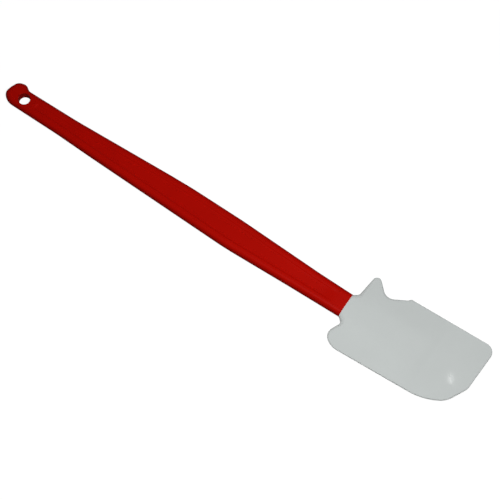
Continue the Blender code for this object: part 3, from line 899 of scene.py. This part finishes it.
def handle_net(sizes):
    """The handle's net: its round sides and both faces with the panel, fine where the hole is cut."""
    corners = handle_corners(sizes)
    depth = (sizes.thickness - sizes.side_flat) / 2
    outline, ways = outline_and_ways(corners)
    inner = [place + way * depth for place, way in zip(outline, ways)]
    support = [place + way * (depth + SUPPORT) for place, way in zip(outline, ways)]
    centre = hole_centre(sizes)
    mouth = sizes.hole_diameter / 2 + sizes.hole_edge
    collars = [circle(centre, mouth + SUPPORT * times) for times in (1, 3)]
    shares = [step / PANEL_RINGS for step in range(PANEL_RINGS + 1)]
    panels = [(share, outline_and_ways(panel_corners(sizes, share))[0]) for share in shares]
    grid = grid_over(outline)
    floor = well_inside(grid, panels[-1][1], GRID_STEP / 2)
    around = well_inside(grid, support, GRID_STEP / 2)
    start = panels[0][1][0].x
    reach = mouth + GRID_STEP / 2
    around = [p for p in around if p.x < start - GRID_STEP / 2 and (p - centre).length > reach]
    around += well_inside(collars[0] + collars[1], support, SUPPORT)
    points = [(place, 1.0) for place in floor] + [(place, 0.0) for place in around]
    net = Net()
    for side, rim in zip((-1.0, 1.0), net.edge(outline, ways, depth)):
        loops = [(inner, rim), (support, net.ring(support, turn=pi / 2, side=side))]
        for share, ring in panels:
            loops.append((ring, net.ring(ring, turn=pi / 2, side=side, panel=share)))
        net.face(side, loops, points)
    return net


def hole_centre(sizes):
    """The middle of the hanging hole."""
    return Vector((-sizes.handle_length + sizes.hole_setback, 0.0))


def circle(centre, radius):
    """Points of a circle, anticlockwise."""
    turns = [2 * pi * step / HOLE_STEPS for step in range(HOLE_STEPS)]
    return [centre + radius * Vector((cos(turn), sin(turn))) for turn in turns]


def hole_mesh(sizes, last_turn=radians(74), steps=9, overreach=10):
    """What the hanging hole takes away: a round edge at each face, and a flare that runs past it."""
    radius, edge, face = sizes.hole_diameter / 2, sizes.hole_edge, sizes.thickness / 2
    profile = []
    for step in range(steps + 1):
        turn = last_turn * step / steps
        profile.append((face - edge + edge * sin(turn), radius + edge * (1 - cos(turn))))
    flare = overreach * edge
    high, wide = profile[-1]
    profile.append((high + flare * cos(last_turn), wide + flare * sin(last_turn)))
    sections = [(-z, size) for z, size in profile[::-1]] + profile
    centre = hole_centre(sizes)
    rings = [[Vector((p.x, p.y, z)) for p in circle(centre, size)] for z, size in sections]
    return loft_mesh("hole", rings)


def paint_hole_shade(mesh, sizes):
    """Give the hole's wall and round edges the turn that the handle's own sides carry, so that the edge mask
    paints shade on them and makes them rougher.
    """
    centre = hole_centre(sizes)
    turns = mesh.attributes["turn"].data
    for vertex, turn in zip(mesh.vertices, turns):
        past = ((vertex.co.xy - centre).length - sizes.hole_diameter / 2) / sizes.hole_edge
        if past < 1.0:
            turn.value = acos(min(1.0 - past, 1.0))


class SPATULA_OT_handle(bpy.types.Operator):
    """Build the nylon handle with its panels, hanging hole and tang"""

    bl_idname = "spatula.handle"
    bl_label = "Handle"

    def execute(self, context):
        sizes, crown, _, _ = settings()
        tree = handle_form(rounded_edge_group())
        mesh = formed(handle_net(sizes).mesh("nylon_handle"), tree, {
            "Thickness": sizes.thickness, "Panel Depth": sizes.panel_depth,
            "Parting Ridge": sizes.parting_ridge, "Material": bpy.data.materials["red_nylon_moulding"],
        })
        mesh = cut_at_joint(mesh, -1, sizes)
        cuts = [window_mesh(sizes, index, 0.0, sizes.thickness) for index in range(WINDOWS)]
        cuts.append(hole_mesh(sizes))
        tang = ("UNION", tang_mesh(sizes, crown, 0.0))
        mesh = combined(mesh, [tang, *(("DIFFERENCE", cut) for cut in cuts)])
        # Painted shade in the hanging hole, through the edge mask
        paint_hole_shade(mesh, sizes)
        handle = finished_piece("nylon_handle", mesh)
        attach(handle, "handle")
        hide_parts("handle")
        return {"FINISHED"}


def blade_net(sizes, inner):
    """The blade's net. Without an inner ring it only has the points where the edge's round ends."""
    outline, ways = outline_and_ways(blade_corners(sizes))
    net = Net()
    if inner is None:
        net.ring(outline, ways, turn=pi / 2, side=1.0)
        return net
    support = [place + way * SUPPORT for place, way in zip(inner, ways)]
    points = [(place, 0.0) for place in well_inside(grid_over(outline), support, GRID_STEP / 2)]
    for side, rim in zip((-1.0, 1.0), net.edge(outline, ways)):
        loops = [(inner, rim), (support, net.ring(support, turn=pi / 2, side=side))]
        net.face(side, loops, points)
    return net


class SPATULA_OT_blade(bpy.types.Operator):
    """Build the silicone blade that is moulded over the tang"""

    bl_idname = "spatula.blade"
    bl_label = "Blade"

    def execute(self, context):
        sizes, crown, _, _ = settings()
        tree = blade_form(rounded_edge_group())
        labels = {key: prop.name for key, prop in crown.bl_rna.properties.items() if prop.type == "FLOAT"}
        values = {label: getattr(crown, key) for key, label in labels.items()}
        values |= {
            "Thickness": sizes.thickness, "Crown End": sizes.tang_length + sizes.end_cover,
            "Blade Length": sizes.blade_length, "Side Flat": sizes.side_flat,
            "Parting Ridge": sizes.parting_ridge, "Material": bpy.data.materials["pale_silicone_moulding"],
        }
        ends = formed(blade_net(sizes, None).mesh("round_ends"), tree, values)
        inner = [vertex.co.xy.copy() for vertex in ends.vertices]
        bpy.data.meshes.remove(ends)
        mesh = formed(blade_net(sizes, inner).mesh("silicone_blade"), tree, values)
        mesh = cut_at_joint(mesh, 1, sizes)
        height = crown.crown_end_thickness / 2 - sizes.face_cover / 2
        fills = [window_mesh(sizes, index, sizes.bond, height) for index in range(WINDOWS)]
        hollow = ("DIFFERENCE", tang_mesh(sizes, crown, sizes.bond))
        mesh = combined(mesh, [hollow, *(("UNION", fill) for fill in fills)])
        blade = finished_piece("silicone_blade", mesh)
        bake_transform(blade)
        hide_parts("blade_root", "blade_tip")
        return {"FINISHED"}


# Stage


def seen_directly(tree):
    """One for camera, glossy and transmission rays, and nothing for the diffuse light on the spatula."""
    path = tree.nodes.new("ShaderNodeLightPath").outputs
    seen = maths(tree, "MAXIMUM", path["Is Camera Ray"], path["Is Glossy Ray"])
    return maths(tree, "MAXIMUM", seen, path["Is Transmission Ray"])


def make_floor(half=3.0, below=0.0001, shade=0.12, glow=0.94):
    """A plain pale floor that keeps the spatula's faint shadow, with a glow that is seen and mirrored."""
    mesh = bpy.data.meshes.new("floor")
    corners = [(x * half, y * half, -below) for x, y in ((-1, -1), (1, -1), (1, 1), (-1, 1))]
    mesh.from_pydata(corners, [], [(0, 1, 2, 3)])
    floor = linked("floor", mesh)
    material, tree, shader = shader_tree("pale_floor")
    shader.inputs["Base Color"].default_value = (shade, shade, shade, 1.0)
    shader.inputs["Roughness"].default_value = 1.0
    shader.inputs["Specular IOR Level"].default_value = 0.0
    shader.inputs["Emission Color"].default_value = (1.0, 1.0, 1.0, 1.0)
    seen = maths(tree, "MULTIPLY", seen_directly(tree), glow)
    tree.links.new(seen, shader.inputs["Emission Strength"])
    mesh.materials.append(material)


def make_world(studio, horizon=(0.10, 0.45)):
    """Dim even light, white to the camera, and white near the horizon to glossy and transmission rays."""
    world = bpy.data.worlds.new("studio")
    world.use_nodes = True
    tree = world.node_tree
    background = tree.nodes["Background"]
    direction = node(tree, "ShaderNodeTexCoord", output="Generated")
    height = node(tree, "ShaderNodeSeparateXYZ", (direction,), output=2)
    band = mapped(tree, height, *horizon, 1.0, 0.0, "SMOOTHSTEP")
    camera = tree.nodes.new("ShaderNodeLightPath").outputs["Is Camera Ray"]
    white = maths(tree, "MAXIMUM", camera, maths(tree, "MULTIPLY", band, seen_directly(tree)))
    strength = maths(tree, "MAXIMUM", white, studio.world_light)
    tree.links.new(strength, background.inputs["Strength"])
    background.inputs["Color"].default_value = (1.0, 1.0, 1.0, 1.0)
    bpy.context.scene.world = world


def area_lamp(name, place, target, size, power, across=(0.0, 1.0, 0.0)):
    """A rectangular area lamp that faces a target, with its second size along a direction."""
    light = bpy.data.lights.new(name, "AREA")
    light.energy = power
    light.shape = "RECTANGLE"
    light.size, light.size_y = size
    back = (Vector(place) - Vector(target)).normalized()
    right = Vector(across).cross(back).normalized()
    turned = Matrix((right, back.cross(right), back)).transposed()
    lamp = linked(name, light)
    lamp.matrix_world = Matrix.Translation(place) @ turned.to_4x4()
    return lamp


def camera_view(studio):
    """The camera's place, and the direction to it from what it looks at."""
    turn, rise = studio.azimuth, studio.elevation
    back = Vector((sin(turn) * cos(rise), -cos(turn) * cos(rise), sin(rise)))
    return Vector(studio.target) + back * studio.distance, back


def blade_top(x, y):
    """The point of the blade's upper face at a distance from the joint and a place across."""
    above = joint_place() + Vector((x, y, 1.0))
    hit, point, _, _ = bpy.data.objects["silicone_blade"].ray_cast(above, Vector((0.0, 0.0, -1.0)))
    if not hit:
        raise RuntimeError("the glint's spot isn't on the blade")
    return point


def make_glint(studio, reach=0.003):
    """A small lamp that the blade mirrors to the camera as an upright streak near its end."""
    x, y = GLINT
    spot = blade_top(x, y)
    along = blade_top(x + reach, y) - blade_top(x - reach, y)
    across = blade_top(x, y + reach) - blade_top(x, y - reach)
    normal = along.cross(across).normalized()
    seen = (camera_view(studio)[0] - spot).normalized()
    mirrored = 2 * normal.dot(seen) * normal - seen
    place = spot + mirrored * studio.distance
    upright = (-sin(studio.azimuth), cos(studio.azimuth), 0.0)
    lamp = area_lamp("glint_lamp", place, spot, GLINT_SIZE, studio.glint_power, upright)
    lamp.visible_diffuse = False


def make_camera(studio):
    """The camera, at the photograph's viewing angle."""
    place, back = camera_view(studio)
    data = bpy.data.cameras.new("camera")
    data.sensor_width = 36.0
    data.lens = studio.lens
    camera = linked("camera", data)
    camera.location = place
    camera.rotation_mode = "QUATERNION"
    camera.rotation_quaternion = (-back).to_track_quat("-Z", "Y")
    bpy.context.scene.camera = camera


class SPATULA_OT_stage(bpy.types.Operator):
    """Set the floor, the soft lights and the camera"""

    bl_idname = "spatula.stage"
    bl_label = "Stage"

    def execute(self, context):
        studio = settings()[3]
        make_floor()
        make_world(studio)
        joint = joint_place()
        key_place, key_target = joint + Vector(KEY_PLACE), joint + Vector(KEY_TARGET)
        area_lamp("key_lamp", key_place, key_target, KEY_SIZE, studio.key_power)
        make_glint(studio)
        make_camera(studio)
        context.scene.view_settings.view_transform = "Standard"
        return {"FINISHED"}


# Panel and registration


class SPATULA_PT_tools(bpy.types.Panel):
    """Lists what builds the spatula"""

    bl_idname = "SPATULA_PT_tools"
    bl_label = "Spatula"
    bl_space_type = "VIEW_3D"
    bl_region_type = "UI"
    bl_category = "Spatula"

    def draw(self, context):
        for operator in OPERATORS:
            self.layout.operator(operator.bl_idname)
        for group in settings():
            box = self.layout.box()
            for key in group.bl_rna.properties.keys():
                if key not in ("rna_type", "name"):
                    box.prop(group, key)


GROUPS = {
    "spatula_sizes": SpatulaSizes, "spatula_crown": SpatulaCrown,
    "spatula_finish": SpatulaFinish, "spatula_studio": SpatulaStudio,
}
OPERATORS = (SPATULA_OT_materials, SPATULA_OT_handle, SPATULA_OT_blade, SPATULA_OT_stage)


def register():
    """Register the classes, and hang the groups of sizes on the scene."""
    for group in GROUPS.values():
        bpy.utils.register_class(group)
    for operator in (*OPERATORS, SPATULA_PT_tools):
        bpy.utils.register_class(operator)
    for name, group in GROUPS.items():
        setattr(bpy.types.Scene, name, PointerProperty(type=group))


def unregister():
    """Undo what register does."""
    for name in GROUPS:
        delattr(bpy.types.Scene, name)
    for operator in (SPATULA_PT_tools, *OPERATORS[::-1]):
        bpy.utils.unregister_class(operator)
    for group in GROUPS.values():
        bpy.utils.unregister_class(group)


def main():
    """Build the spatula and its studio."""
    register()
    bpy.ops.spatula.materials()
    bpy.ops.spatula.handle()
    bpy.ops.spatula.blade()
    bpy.ops.spatula.stage()


if __name__ == "__main__":
    main()
